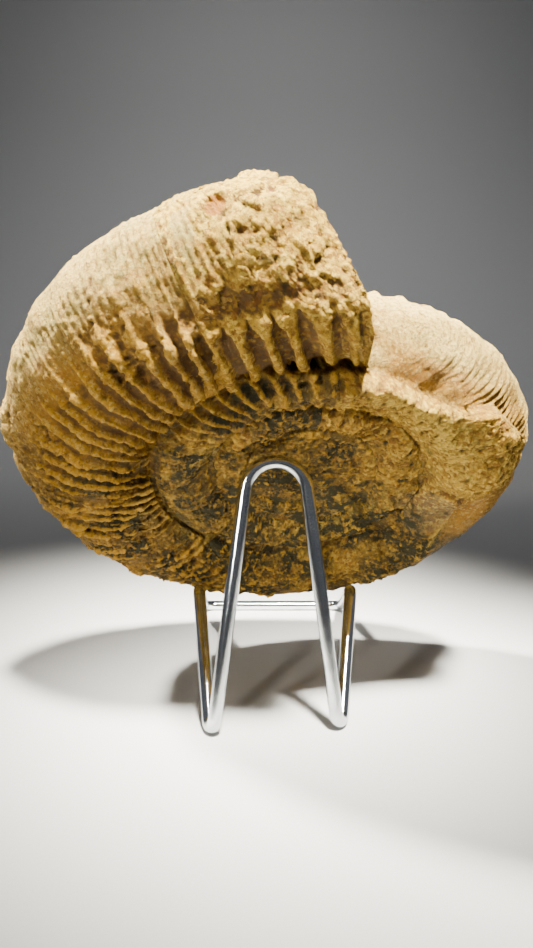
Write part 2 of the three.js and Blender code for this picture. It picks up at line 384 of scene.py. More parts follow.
def in_place(points):
    """The coil's points leant over and turned about its middle, put on the stand, in metres. Points
    that would come too close to the wire are moved straight away from its middle line."""
    c, s = math.cos(math.pi / 2 + LEAN), math.sin(math.pi / 2 + LEAN)
    lean = np.array([[1, 0, 0], [0, c, -s], [0, s, c]])
    c, s = math.cos(YAW), math.sin(YAW)
    turn = np.array([[c, -s, 0], [s, c, 0], [0, 0, 1]])
    placed = points @ (turn @ lean).T + CENTRE
    quarters = np.array([0, 0.25, 0.5, 0.75])[:, None]
    stations = (line[:, None] + (np.roll(line, -1, 0) - line)[:, None] * quarters).reshape(-1, 3)
    nearest = np.full(len(placed), np.inf)
    away = np.zeros_like(placed)
    for station in stations:
        apart = placed - station
        distance = np.sqrt((apart**2).sum(-1))
        closer = distance < nearest
        nearest = np.where(closer, distance, nearest)
        away = np.where(closer[:, None], apart, away)
    push = np.clip(WIRE / 2 + WIRE_GAP - nearest, 0, None)
    return (placed + away / nearest[:, None] * push[:, None]) * MM


def swell(points, size):
    """Low waves in three directions, each bent by a wave across it, from -1 to 1."""
    x, y, z = np.moveaxis(points / size, -1, 0)
    return (
        np.sin(2.1 * x + 1.7 * np.sin(1.3 * y + 0.5))
        + np.sin(2.3 * y + 1.4 * np.sin(1.1 * z + 1.9))
        + np.sin(1.9 * z + 1.6 * np.sin(1.2 * x + 3.1))
    ) / 3


def scatter(cell, seed):
    """A repeatable number from 0 to 1 for each cell of a lattice."""
    x, y, z = np.moveaxis(cell, -1, 0)
    mixed = (x * 73856093) ^ (y * 19349663) ^ (z * 83492791) ^ (seed * 2654435)
    mixed = (mixed ^ (mixed >> 13)) * 1274126177
    mixed = (mixed ^ (mixed >> 16)) * 40503
    return ((mixed >> 8) & 0xFFFF) / 65535.0


def grit(points, size, seed=0, octaves=1):
    """Lattice noise from -1 to 1: random heights at the corners of cells of this size, with smooth
    blends between them. Each octave is half the size and 0.55 of the height of the one before."""
    total = np.zeros(points.shape[:-1])
    height = 1.0
    for octave in range(octaves):
        place = points / (size * 0.5**octave) + 17.3 * octave
        cell = np.floor(place).astype(np.int64)
        f = place - cell
        f = f * f * (3 - 2 * f)
        for corner in range(8):
            bits = np.array([corner & 1, corner >> 1 & 1, corner >> 2 & 1])
            share = np.prod(np.where(bits, f, 1 - f), -1)
            total += height * share * (2 * scatter(cell + bits, seed + octave) - 1)
        height *= 0.55
    return total


def chips(points, size, seed=0):
    """Flat chips, from about -1 to 1: points are scattered one to a cell, and round each, as far as it
    is the nearest, lies a plane with a height and a slant of its own."""
    place = points / size
    cell = np.floor(place).astype(np.int64)
    nearest = np.full(points.shape[:-1], 9.0)
    owner = cell.copy()
    away = np.zeros_like(place)
    for n in range(27):
        near = cell + np.array([n % 3 - 1, n // 3 % 3 - 1, n // 9 - 1])
        apart = place - near - np.stack([scatter(near, seed + k) for k in (11, 12, 13)], -1)
        distance = (apart**2).sum(-1)
        closer = distance < nearest
        nearest = np.where(closer, distance, nearest)
        owner = np.where(closer[..., None], near, owner)
        away = np.where(closer[..., None], apart, away)
    slant = np.stack([scatter(owner, seed + k) for k in (14, 15, 16)], -1) - 0.5
    return 2.4 * (away * slant).sum(-1) + scatter(owner, seed + 17) - 0.5


def from_break(phi):
    """Degrees round the coil, from -270 to 90, counted from the broken end."""
    return np.where(phi > math.pi / 2, phi - TURN, phi) / DEG


def crust_cover(phi, beta):
    """1 where rock covers the shell, 0 elsewhere, with a steep edge between."""
    edge = np.interp(from_break(phi), *CRUST_EDGE)
    return smooth(beta / DEG, edge - 4, edge + 6)


def crust_height(phi, beta, points):
    """Thickness of the rock: less in the middle of the coil and under the fossil, with lumps."""
    inward = 1 - 0.75 * smooth(beta / DEG, 105, 150)
    low = np.interp(from_break(phi), [-235, -150, -100, -60], [0.1, 0.25, 0.5, 1])
    return inward * low * (CRUST + 2.2 * swell(points, 7))


def lumps(phi, beta):
    """Single rounded lumps and pits."""
    height = np.zeros(phi.shape)
    for at, direction, size, rise in LUMPS:
        across = (beta / DEG - direction) / 2.2
        height += rise * np.exp(-((phi / DEG - at) ** 2 + across**2) / size**2)
    return height


def worn(phi, beta):
    """Wear of the outer whorl towards its broken end, on its far flank and over the rim, in mm."""
    far = 1 - smooth(beta / DEG, -35, 22)
    return far * np.interp(phi / DEG, [0, 12, 25, 50], [7, 5.5, 3.2, 0])


def seam(phi):
    """The direction in the section where the outer whorl meets the one before it."""
    share = SHRINK ** (-phi / TURN)
    return np.arctan2(SEAM_UP * share, SEAM_OUT * share - SKELETON)


def swing(turned, beta):
    """How far the ribs run forward round the coil, towards its middle."""
    whole = np.interp(np.abs(beta) / DEG, [40, 57, 70, 85, 100], [0, 1.3, 3.5, 6.3, 7.5]) * DEG
    return whole * np.interp(turned / DEG, [8, 28, 330, 356], [0, 1, 1, 0])


def fade_to_poles(beta):
    """1 over most of the section, falling to 0 at the two points in the coil's middle."""
    return np.minimum((TO_POLE - np.abs(beta)) / POLE_FADE, 1)


def narrow_wave(angle, power):
    """A wave from -1 to 1 whose crests grow narrower and whose troughs wider with the power."""
    return 2 * (0.5 + 0.5 * np.cos(angle)) ** power - 1


def rib_wave(turned):
    """The angle whose cosine is 1 on the crest of a rib. The ribs are not evenly spaced."""
    return RIBS * turned + 0.9 * np.sin(11 * turned + 1) + 0.5 * np.sin(23 * turned)


def end_rock(phi, beta, turned):
    """1 where the broken end of the outer whorl is bare rock: a band by the break, as far in as the
    outer ends of the grooves."""
    side = beta / DEG
    inner_end = 44 + 5 * np.cos(rib_wave(turned))
    ragged = np.interp(side, [-90, 12, 30], [19, 20, 27]) + 2 * np.sin(0.21 * side)
    ragged = ragged + 1.5 * np.sin(0.53 * side + 1)
    near_side = smooth(phi / DEG, ragged + 3, ragged - 3) * smooth(side, inner_end + 3, inner_end - 3)
    return near_side * smooth(side, -95, -75)


def ribs(phi, beta, turned):
    """Sharp ribs with wide grooves on the flanks. Over the rim each splits in three. On the near
    flank they are lost in rough stone further round, and there are finer ones on the inner whorl."""
    side = np.abs(beta) / DEG
    degrees = phi / DEG
    near = smooth(beta / DEG, -25, 0)
    round_coil = [0, 8, 14, 40, 70, 95, 125, 190, 225]
    strength = np.interp(degrees, round_coil, [0.8, 1.5, 1.6, 1.35, 1, 1, 0.5, 0.2, 0])
    kept = 1 - near + near * strength
    bare = 1 - end_rock(phi, beta, turned) * (degrees < 60)
    main = narrow_wave(rib_wave(turned), 1.4 + 0.8 * near) + 0.15 * near
    main = main * np.interp(side, [0, 22, 38, 95, 120, 140], [0, 0.1, 1, 1, 0.7, 0])
    split = np.cos(3 * rib_wave(turned)) * np.interp(side, [0, 14, 26, 38], [0.45, 0.4, 0.25, 0])
    split = split * (1 - 0.6 * near)
    round_coil = [226, 238, 268, 276, 308, 318, 345, 352]
    finer = np.interp(degrees, round_coil, [0, 0.7, 0.7, 1, 1, 0.25, 0.25, 0])
    finer = finer * near * np.interp(beta / DEG, [-30, -15, 48, 72], [0, 1, 1, 0])
    height = kept * (main + split) * (1 - smooth(side, seam(phi) / DEG - 3, seam(phi) / DEG + 4))
    return 0.5 * RIB_HEIGHT * (bare * height + 0.5 * finer * np.cos(FINER_RIBS * turned))


def base_distance(phi, beta, turned):
    """The shell without its fine grain, as the solid part has it."""
    distance = reach(phi, beta)
    points = in_coil(distance, phi, beta)
    cover = crust_cover(phi, beta)
    height = (1 - cover) * ribs(phi, beta, turned) + cover * crust_height(phi, beta, points)
    height += lumps(phi, beta) - worn(phi, beta) + 0.5 * swell(points, 4)
    return distance + fade_to_poles(beta) * height


def coil_form(turned, out, beta):
    """Turn and distance of the coil's surface. Turned goes once round, and out then goes from 0 to
    1 across the broken end, back to where the outer whorl begins."""
    begin = BREAK_RIM - BREAK_SLANT * np.clip(beta / (95 * DEG), 0, 1) ** 0.6
    leaning = 1 - smooth(np.minimum(turned, TURN - turned) / TURN, 0, 0.1)
    phi = turned + begin * leaning + swing(turned, beta)
    distance = base_distance(phi, beta, turned)
    outer = base_distance(begin, beta, 0 * turned)
    waste = np.clip((outer - distance) / 12, 0, 1) * np.sin(math.pi * out)
    distance = np.where(out > 0, distance + (outer - distance) * out, distance)
    return phi + waste * DEG * (1.5 + 2.4 * np.sin(0.16 * distance + 4 * beta)), distance, waste


def middle_edge(phi):
    """The direction in the section where the separate rock of the near flank begins."""
    return np.minimum(np.interp(from_break(phi), *CRUST_EDGE), seam(phi % TURN) / DEG + 2)


SHELL_ROWS = 78
SHELL_COLUMNS = 15 * RIBS
WALL_STEPS = 18
BEHIND_WALL = 4.5 * DEG
columns = SHELL_COLUMNS + WALL_STEPS
# Most rows lie between the two middles, which have their own finer pieces.
row_places = [0, 0.026, 0.46, 0.974, 1]
row_sides = [-TO_POLE / DEG, -135, -12, 135, TO_POLE / DEG]
shell_rows = np.interp(np.linspace(0, 1, SHELL_ROWS), row_places, row_sides)
beta = np.repeat(shell_rows[:, None] * DEG, columns, 1)
column = np.repeat(np.arange(columns)[None], SHELL_ROWS, 0).astype(float)
turned = TURN * np.minimum(column / SHELL_COLUMNS, 1)
phi, distance, waste = coil_form(turned, np.maximum(column - SHELL_COLUMNS, 0) / WALL_STEPS, beta)
points = in_coil(distance, phi, beta)


def shell_grain(points):
    """Fine unevenness of the shell, in mm, and the small holes in it."""
    hole = smooth(grit(points, 2.0, 21), 0.6, 0.9) * smooth(grit(points, 16, 22), 0.1, 0.5)
    return 0.22 * grit(points, 2.6, 3, 3) + 0.3 * grit(points, 7, 5) - 0.5 * hole, hole


def rib_wear(points, phi, beta):
    """The share of the ribs' height that is worn off: in patches, over the rim and low on the left."""
    over_rim = smooth(np.abs(beta) / DEG, 42, 22)
    low = np.interp((phi / DEG) % 360, [60, 95, 240, 270], [0, 1, 1, 0])
    return 0.85 * smooth(grit(points, 13, 83, 2), -0.25, 0.35) * np.maximum(over_rim, low)


# The shell sinks a little, in mm, where one of the finer pieces lies on it: first under the broken
# end and the near flank, then behind the broken end's wall, and last under the two middles.
side = beta / DEG
degrees = phi / DEG
by_middle = smooth(side, middle_edge(phi) - 2, middle_edge(phi) - 6)
under = 2.0 * smooth(degrees, 24, 18) * smooth(side, -92, -80) * smooth(side, 88, 74)
under += 1.6 * smooth(degrees, 26, 29) * smooth(degrees, 174, 170) * smooth(side, -25, -20) * by_middle
fine, hole = shell_grain(points)
crests = ribs(phi, beta, turned) * (1 - rib_wear(points, phi, beta))
distance = distance + fade_to_poles(beta) * (fine - under) + crests - ribs(phi, beta, turned)
shell_points = in_coil(distance, phi + BEHIND_WALL * np.minimum(3 * waste, 1), beta)
shell_points[..., 2] -= 2.4 * smooth(side, middle_edge(phi) + 4, middle_edge(phi) + 12)
shell_points[..., 2] += 2.4 * smooth(side, -124, -134) + 2.8 * smooth(side, -150, -162)
# The rows at the two ends are one point each, closed by a fan.
inner = shell_points[1:-1].reshape(-1, 3)
shell_faces = [tuple(face) for face in quads(SHELL_ROWS - 2, columns, ring=True).tolist()]
last = (SHELL_ROWS - 3) * columns
for n in range(columns):
    shell_faces.append((len(inner), (n + 1) % columns, n))
    shell_faces.append((len(inner) + 1, last + n, last + (n + 1) % columns))

# Colours of the stone and of what lies on it
OCHRE = (0.42, 0.20, 0.012)
SAND = (0.50, 0.27, 0.025)
GOLD = (0.60, 0.32, 0.012)
CREAM = (0.90, 0.68, 0.21)
YELLOW = (0.94, 0.65, 0.10)
BROWN = (0.13, 0.070, 0.020)
RUST = (0.25, 0.088, 0.007)
ORANGE = (0.50, 0.20, 0.03)
OLIVE = (0.040, 0.034, 0.010)
MOSS = (0.26, 0.22, 0.045)
GREY = (0.17, 0.115, 0.055)

# The numbers that a stone mesh holds for its material, from 0 to 1 at each point
HELD = ("relief_shade", "dirt_and_shade", "pale", "grey", "rust", "moss")


def stone_material(name, rough_rock):
    """Yellow limestone: brown and rust clouds, pale grains, dark dirt in the pits. The crest of a
    rib is paler than its groove: painted highlight on what stands proud and painted shade in
    hollows."""
    material, shader, start = new_material(name)
    link = material.node_tree.links.new
    place = start.add("TexCoord", out=3)
    mm = start.add("VectorMath", {"operation": "SCALE"}, {0: place, "Scale": 1 / MM})

    def noise(size, detail, shift=0.0, rough=0.55):
        return start.add(
            "TexNoise",
            {"noise_dimensions": "4D"},
            {"Vector": mm, "W": shift, "Scale": 1 / size, "Detail": detail, "Roughness": rough},
        )

    relief_shade, dirt_and_shade, pale, grey, rust, moss = [
        start.add("Attribute", {"attribute_name": value}, out=2) for value in HELD
    ]
    clouds = noise(16.0, 4.0, 1.0).step(0.36, 0.66)
    speck = noise(1.3, 5.0, 9.0, 0.78)
    body, wear_and_highlight = (SAND, YELLOW) if rough_rock else (OCHRE, CREAM)
    grain_size, crisp = (0.9, 0.8) if rough_rock else (0.7, 0.4)
    # Grains with crisp, crooked edges: each cell has a number of its own, from 0 to 1.
    drift_sockets = {"Vector": mm, "Scale": 1.4, "Detail": 6.0, "Roughness": 0.7}
    drift = start.add("TexNoise", {}, drift_sockets, out=1)
    bent = start.add("VectorMath", {"operation": "MULTIPLY_ADD"}, {0: drift, 1: (2.0, 2.0, 2.0), 2: mm})
    cells = start.add("TexVoronoi", {}, {"Vector": bent, "Scale": 1 / grain_size}, out=1)
    grain = start.add("SeparateColor", {}, {"Color": cells})
    colour = (clouds * 0.4).blend(body, BROWN)
    colour = (noise(7.0, 5.0, 5.0, 0.65).step(0.52, 0.7) * 0.45).blend(colour, RUST)
    tufts = noise(5.0, 4.0, 7.0, 0.65).step(0.4, 0.6)
    colour = (moss * (0.3 + 0.9 * tufts)).blend(colour, MOSS)
    colour = (rust * (0.3 + 0.9 * speck)).blend(colour, RUST)
    colour = (grey * 0.85).blend(colour, GREY)
    # Painted highlight: what stands proud turns golden.
    colour = (relief_shade.step(0.5, 0.85) * (0.2 + speck)).blend(colour, GOLD)
    # Pale wear, and on the upper rim a painted highlight.
    colour = (pale * (0.3 + speck) * relief_shade.step(0.15, 0.5)).blend(colour, wear_and_highlight)
    # Painted shade: what lies in hollows turns brown.
    colour = (relief_shade.step(0.45, 0.1) * 0.95).blend(colour, BROWN)
    colour = (speck.step(0.49, 0.36) * 0.7).blend(colour, BROWN)
    # The grains with low numbers are rusty, those with middle ones golden and the highest pale.
    colour = (grain.step(0.34, 0.12) * (0.75 * crisp)).blend(colour, RUST)
    colour = (grain.step(0.60, 0.45) * grain.step(0.34, 0.42) * (0.5 * crisp)).blend(colour, GOLD)
    clean = grain.step(0.62, 0.9) * (1 - dirt_and_shade) * relief_shade.step(0.3, 0.55)
    colour = (clean * (0.7 * crisp)).blend(colour, wear_and_highlight)
    colour = (rust.step(0.8, 1.0) * 0.8).blend(colour, ORANGE)
    crumbs = noise(2.4, 4.0, 13.0, 0.7).step(0.36, 0.56)
    # Dark olive for dirt, and for painted shade on the low near flank, but not on what stands proud.
    colour = (dirt_and_shade * (0.3 + crumbs) * relief_shade.step(1.0, 0.6)).blend(colour, OLIVE)
    link(colour.socket, shader.inputs["Base Color"])
    link((0.93 - 0.2 * grey).socket, shader.inputs["Roughness"])
    height = 1.7 * noise(1.0, 5.0, 2.0, 0.78) + (0.6 * crisp) * grain
    if rough_rock:
        height = height + 0.7 * noise(2.6, 3.0, 6.0, 0.7)
    bump = start.add("Bump", {}, {"Strength": 1.0, "Distance": 0.0012, "Height": height})
    link(bump.socket, shader.inputs["Normal"])
    shader.inputs["Specular IOR Level"].default_value = 0.3
    return material


def spots(phi, beta, places):
    """Soft round spots, from 0 to 1: degrees round the coil, degrees in the section, the two sizes
    in degrees, and the strength."""
    found = np.zeros(phi.shape)
    for at, direction, wide, tall, strength in places:
        apart = ((phi / DEG - at + 180) % 360 - 180) / wide
        across = (beta / DEG - direction) / tall
        found = np.maximum(found, strength * np.exp(-(apart**2) - across**2))
    return found


# Spots, as the function above takes them. Dirt lies in the seams and in the middle of the coil.
DIRT_SPOTS = [
    (45, 110, 8, 6, 0.9), (56, 137, 6, 8, 0.9), (100, 141, 9, 7, 0.9), (77, 119, 5, 4, 0.8),
    (238, 122, 16, 26, 0.95), (205, 112, 26, 16, 0.85), (258, 106, 7, 9, 0.8), (150, 142, 26, 14, 0.6),
    (180, 88, 40, 12, 0.4), (118, 92, 16, 20, 0.6), (20, 118, 18, 4, 0.4),
]
PALE_SPOTS = [
    (-4, 2, 16, 16, 0.8), (8, 28, 20, 26, 0.4), (318, 104, 26, 9, 0.95), (245, 88, 8, 8, 0.8),
    (332, 30, 26, 26, 0.95), (74, 148, 11, 9, 0.7), (290, 55, 14, 22, 0.6), (352, 70, 5, 24, 0.9),
    (305, 112, 26, 18, 0.85), (105, 94, 12, 12, 0.4), (190, 158, 26, 8, 0.5),
]
RUST_SPOTS = [
    (80, 40, 4, 4, 0.9), (330, 66, 14, 12, 0.8), (19, 34, 11, 7, 0.7), (300, 124, 6, 8, 0.8),
    (340, 75, 9, 10, 0.6), (78, 150, 8, 7, 0.5), (35, 62, 12, 22, 0.35), (14, 60, 10, 26, 0.4),
]
MOSS_SPOTS = [
    (30, 12, 10, 14, 0.9), (54, 10, 18, 12, 0.7), (130, 118, 22, 18, 0.7), (290, 140, 26, 12, 0.7),
    (312, 90, 12, 12, 0.6), (225, 160, 40, 10, 0.7), (70, 100, 16, 6, 0.5), (175, 130, 30, 20, 0.5),
]
FLAKES = [(256, 122, 19, 36, 1), (51, 152, 13, 9, 1)]  # smooth grey pieces that lie on the rock
CHIP = (20, 7, 1.7, 2.9, 1)  # a small fresh orange break near the peak
CHIP_FACE = (20, 7, 1.5, 2.6, 1)  # its even face


def stains(phi, beta, points):
    """How much dirt and painted shade, pale wear and painted highlight, grey smooth stone, rust and
    moss green there is, each from 0 to 1.
    """
    side = beta / DEG
    degrees = (phi / DEG) % 360
    seam_side = seam(phi % TURN) / DEG
    cloud = grit(points, 9, 31, 2)
    at_seam = np.exp(-(((side - seam_side - 4) / 7) ** 2)) * smooth(np.abs(beta), 1.2, 1.4)
    dirt_and_shade = 0.7 * at_seam * np.interp(degrees, [0, 30, 60, 180, 250, 360], [0.3, 0.6, 1, 1, 0.6, 0.2])
    dirt_and_shade = np.maximum(dirt_and_shade, spots(phi, beta, DIRT_SPOTS) * (0.8 + 0.6 * cloud))
    dirt_and_shade = np.maximum(dirt_and_shade, 0.35 * smooth(side, -40, -90))
    # The low part of the near flank is darker, painted shade where it faces down away from the
    # lamps above. The coil's middle is darker too.
    low = smooth(degrees, 58, 100) * smooth(degrees, 262, 235) * smooth(side, 0, 32)
    hollow = smooth(side, seam_side + 2, seam_side + 14)
    dirt_and_shade = np.maximum(dirt_and_shade, (0.72 + 0.7 * cloud) * np.maximum(0.95 * low, 0.78 * hollow))
    # The rim is paler on its upper half, a painted highlight where it faces the lamps above.
    round_coil = [-270, -200, -110, -80, 30, 60, 90]
    upper = np.interp(from_break(phi), round_coil, [0.3, 0.2, 0.2, 1, 1, 0.6, 0.3])
    pale = 0.8 * smooth(side, 26, 6) * smooth(side, -120, -60) * upper
    pale = np.maximum(pale, spots(phi, beta, PALE_SPOTS))
    chip = smooth(spots(phi, beta, [CHIP]), 0.3, 0.5)
    grey = smooth(spots(phi, beta, FLAKES), 0.35, 0.6)
    rust = np.maximum(spots(phi, beta, RUST_SPOTS), chip)
    moss = spots(phi, beta, MOSS_SPOTS)
    pale = pale * (1 - chip) * (1 - 0.6 * np.clip(moss, 0, 1))
    return [np.clip(values, 0, 1) for values in (dirt_and_shade, pale, grey, rust, moss)]


def hold(piece, relief_shade, dirt_and_shade, pale, grey, rust, moss):
    """Keeps numbers for each point of the mesh, for the material to read. The relief shade is about
    0.5 on even stone, more where it stands proud and less in hollows: painted highlight and
    painted shade. A patch's last point gets 0."""
    for name, value in zip(HELD, (relief_shade, dirt_and_shade, pale, grey, rust, moss)):
        data = piece.data.attributes.new(name, "FLOAT", "POINT").data
        value = np.append(np.clip(value, 0, 1).ravel(), 0)[: len(data)]
        data.foreach_set("value", value.astype(np.float32))


def with_poles(values):
    """The values of the inner rows, and then those of the two poles."""
    return np.concatenate([values[1:-1].ravel(), values[[0, -1], 0]])


shell_stone = stone_material("shell_limestone", False)
poles = shell_points[[0, -1], 0]
shell = mesh_piece("fossil_shell", in_place(np.vstack([inner, poles])), shell_faces, shell_stone)
dirt_and_shade, pale, grey, rust, moss = stains(phi, beta, points)
# Painted highlight on the rib crests and painted shade in the grooves.
relief_shade = 0.5 + 0.42 * crests
hold(shell, *[with_poles(values) for values in (relief_shade, dirt_and_shade + 0.7 * hole, pale, grey, rust, moss)])
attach(shell, "root")
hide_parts("ammonite")


# The rock at the broken end
# The outer whorl has snapped off here, and its filling of coarse limestone shows: a rough wall down
# to the whorl before it, and a crumbling band on the outside, as far as the grooves' ends.
def normals(points):
    """Unit normals of a grid of points, from the differences along its rows and columns."""
    down, across = np.gradient(points, axis=0), np.gradient(points, axis=1)
    found = np.cross(across, down)
    return found / np.maximum(np.linalg.norm(found, axis=-1, keepdims=True), 1e-9)


LEDGE_HEIGHT = 1.2  # mm


def rock(points):
    """Broken rock in mm: ledges, flat chips of three sizes, fine grit and pits."""
    bent = points + 0.9 * np.stack([grit(points, 4, seed) for seed in (43, 44, 45)], -1)
    low = 1.6 * grit(bent, 9, 41, 2)
    ledges = LEDGE_HEIGHT * (np.floor(low / LEDGE_HEIGHT) + smooth(low / LEDGE_HEIGHT % 1, 0.3, 0.7))
    broken = 0.35 * low + 0.35 * ledges + 0.45 * chips(bent, 5.2, 1) + 0.5 * chips(bent, 2.6, 2)
    broken = broken + 0.35 * chips(points, 1.4, 3)
    pit = smooth(grit(points, 1.8, 47), 0.45, 0.8)
    return broken + 0.3 * grit(points, 0.9, 49) - 0.4 * pit, pit


def proud(height, cells):
    """How far each point of a grid stands above the mean of a square around it, in mm."""
    wide = 2 * cells + 1
    total = np.pad(np.pad(height, cells, "edge"), ((1, 0), (1, 0))).cumsum(0).cumsum(1)
    in_square = total[wide:, wide:] - total[:-wide, wide:] - total[wide:, :-wide]
    return height - (in_square + total[:-wide, :-wide]) / wide**2


def closed_patch(points, inside):
    """The points and faces of a grid, closed by a fan from its border to one point in the stone."""
    rows, columns = points.shape[:2]
    corner = np.arange(rows * columns).reshape(rows, columns)
    border = np.concatenate([corner[0, :-1], corner[:-1, -1], corner[-1, :0:-1], corner[:0:-1, 0]])
    fan = np.stack([np.roll(border, -1), border, np.full(len(border), rows * columns)], -1)
    faces = quads(rows, columns).tolist() + fan.tolist()
    return in_place(np.vstack([points.reshape(-1, 3), inside])), faces


def edge_of(shape, cells):
    """1 on the border of a grid, falling smoothly to 0 this many cells in."""
    down = np.minimum(np.arange(shape[0]), np.arange(shape[0])[::-1])[:, None]
    across = np.minimum(np.arange(shape[1]), np.arange(shape[1])[::-1])[None]
    return 1 - smooth(np.minimum(down, across), 0, cells)


# A pocket in the rock, painted shade for its dark inside, and the thin ledge under it, as spots
POCKET = (19, 33, 12, 5, 1)
POCKET_SHADE = (19, 32, 12, 6, 1)
POCKET_LEDGE = (19, 41, 12, 3, 1)
LOST_CORNER = (-2, 8, 7, 13, 1)


def flank_detail(points, phi, beta, turned):
    """The unevenness of the near flank of the outer whorl, in mm: rock in the broken end's band,
    crumbling along the outer ends of the ribs and on their crests, more of it further round, and
    streaks along the grooves. The second value is how deep in a pit or hole each point is."""
    side, degrees = beta / DEG, phi / DEG
    broken, pit = rock(points)
    bare = end_rock(phi, beta, turned)
    belt = smooth(side, 16, 30) * smooth(side, 58, 40)
    belt = belt * np.interp(degrees, [20, 45, 100, 125], [0.4, 1.0, 1.0, 0.8])
    later = np.interp(degrees, [60, 100, 140], [0, 0.75, 1.0]) * smooth(side, -15, 20)
    patchy = smooth(grit(points, 7, 71, 2), -0.35, 0.25)
    crest = smooth(np.cos(rib_wave(turned)), 0.1, 0.9) * smooth(side, 30, 45)
    share = np.maximum(bare, np.maximum(np.maximum(belt, later) * patchy, 0.45 * crest))
    along_ribs = np.stack([turned * 85, beta * 8, 0 * beta], -1)
    streak = grit(along_ribs, 1.6, 73, 2) * smooth(side, 20, 45)
    grain, hole = shell_grain(points)
    detail = bare * (0.75 * broken + 0.5) + (share - bare) * (0.95 * broken + 0.1)
    detail += (1 - share) * (0.8 * grain + 0.35 * streak + 0.22 * broken) - 0.8 * hole * (1 - bare)
    detail += ribs(phi, beta, turned) * (0.4 * smooth(side, 20, 40) - 1.5 * rib_wear(points, phi, beta))
    # Crumbs are missing from the corner where the break meets the rim, and from the grooves.
    detail -= 1.6 * spots(phi, beta, [LOST_CORNER])
    detail -= 0.5 * smooth(grit(points, 3.2, 75, 2), 0.1, 0.6) * smooth(degrees, 45, 80)
    detail += 0.9 * spots(phi, beta, [POCKET_LEDGE]) - 1.2 * spots(phi, beta, [POCKET])
    return detail, np.maximum(pit * share, hole)


def patch_colours(points, phi, beta, height, pit):
    """The six numbers of the material on a fine piece, from its height over the smooth whorl. The
    pocket's inside gets painted shade, darker than its depth alone would make it."""
    dirt_and_shade, pale, grey, rust, moss = stains(phi, beta, points)
    # Painted shade in hollows and painted highlight where the stone stands above the mean around it.
    relief_shade = 0.54 + 0.55 * proud(height, 3) + 0.22 * proud(height, 10)
    # Painted shade inside the pocket.
    relief_shade = relief_shade - 0.35 * spots(phi, beta, [POCKET_SHADE])
    return relief_shade, dirt_and_shade + 0.5 * pit, pale, grey, rust, moss


END_ROWS = 264
END_FROM, END_TO = -102, 104  # degrees in the section
BAND = 29  # degrees round the coil that the piece reaches back from the break
BAND_COLUMNS, WALL_COLUMNS, FOOT_COLUMNS = 110, 80, 24
# Along a row: over the outside of the whorl towards the break, down the wall, and a little way
# along the whorl before it.
band = np.linspace(BAND, 0, BAND_COLUMNS) * DEG
foot = TURN - np.linspace(0.3, 6, FOOT_COLUMNS) * DEG
wall_out = np.linspace(0.99, 0.01, WALL_COLUMNS)
end_turned = np.concatenate([band, np.full(WALL_COLUMNS, TURN), foot])
end_out = np.concatenate([0 * band, wall_out, 0 * foot])
beta = np.repeat(np.linspace(END_FROM, END_TO, END_ROWS)[:, None] * DEG, len(end_turned), 1)
turned = np.repeat(end_turned[None], END_ROWS, 0)
out = np.repeat(end_out[None], END_ROWS, 0)
phi, distance, waste = coil_form(turned, out, beta)
base = in_coil(distance, phi, beta)
outward = -normals(base)
detail, pit = flank_detail(base, phi, beta, turned)
broken, rock_pit = rock(base)
cover = np.where(out > 0, 1.0, smooth(turned / DEG, 355, 358))
detail = np.where(turned < math.pi, detail, cover * (0.75 * broken - 0.4) + 0.3 * waste)
# Where the wall's rock meets that of the outside, both have the same height.
detail += np.where(out > 0, 0.9 * end_rock(0 * phi, beta, 0 * turned) * out**2, 0)
detail = detail * (1 - smooth(spots(phi, beta, [CHIP_FACE]), 0.3, 0.6))
rise = np.where(turned < math.pi, ribs(phi, beta, turned), 0)
# The border sinks into the shell. The point of the fan lies inside the whorl.
height = detail - 3.2 * edge_of(detail.shape, 8)
inside = in_coil(np.array([24.0]), np.array([14 * DEG]), np.array([0.1]))
points, faces = closed_patch(base + outward * height[..., None], inside)
rock_stone = stone_material("rock_limestone", True)
broken_end = mesh_piece("broken_end", points, faces, rock_stone)
shown_phi = np.where(phi > math.pi, phi - TURN, phi)
hold(broken_end, *patch_colours(base, shown_phi, beta, detail + rise, np.where(out > 0, rock_pit, pit)))
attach(broken_end, "root")
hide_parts("ammonite")


# The near flank of the outer whorl
# The shell's ribbed side that faces the tall loop, weathered: sharp crumbling ribs by the broken end,
# and pitted stone further round.
FLANK_ROWS = 196
FLANK_COLUMNS = 490
FLANK_FROM, FLANK_TO = 26, 178  # degrees round the coil
FLANK_EDGE = -28  # degrees in the section, a little way down the far side of the rim
turned = np.repeat(np.linspace(FLANK_FROM, FLANK_TO, FLANK_COLUMNS)[None], FLANK_ROWS, 0) * DEG
share = np.linspace(0, 1, FLANK_ROWS)[:, None]
beta = (FLANK_EDGE + share * (seam(turned) / DEG - 1 - FLANK_EDGE)) * DEG
phi, distance, _ = coil_form(turned, 0 * turned, beta)
base = in_coil(distance, phi, beta)
outward = normals(base)
detail, pit = flank_detail(base, phi, beta, turned)
height = detail - 2.2 * edge_of(detail.shape, 6)
inside = in_coil(np.array([20.0]), np.array([100 * DEG]), np.array([0.1]))
points, faces = closed_patch(base + outward * height[..., None], inside)
near_flank = mesh_piece("near_flank", points, [face[::-1] for face in faces], shell_stone)
hold(near_flank, *patch_colours(base, phi, beta, detail + ribs(phi, beta, turned), pit))
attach(near_flank, "root")
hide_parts("ammonite")


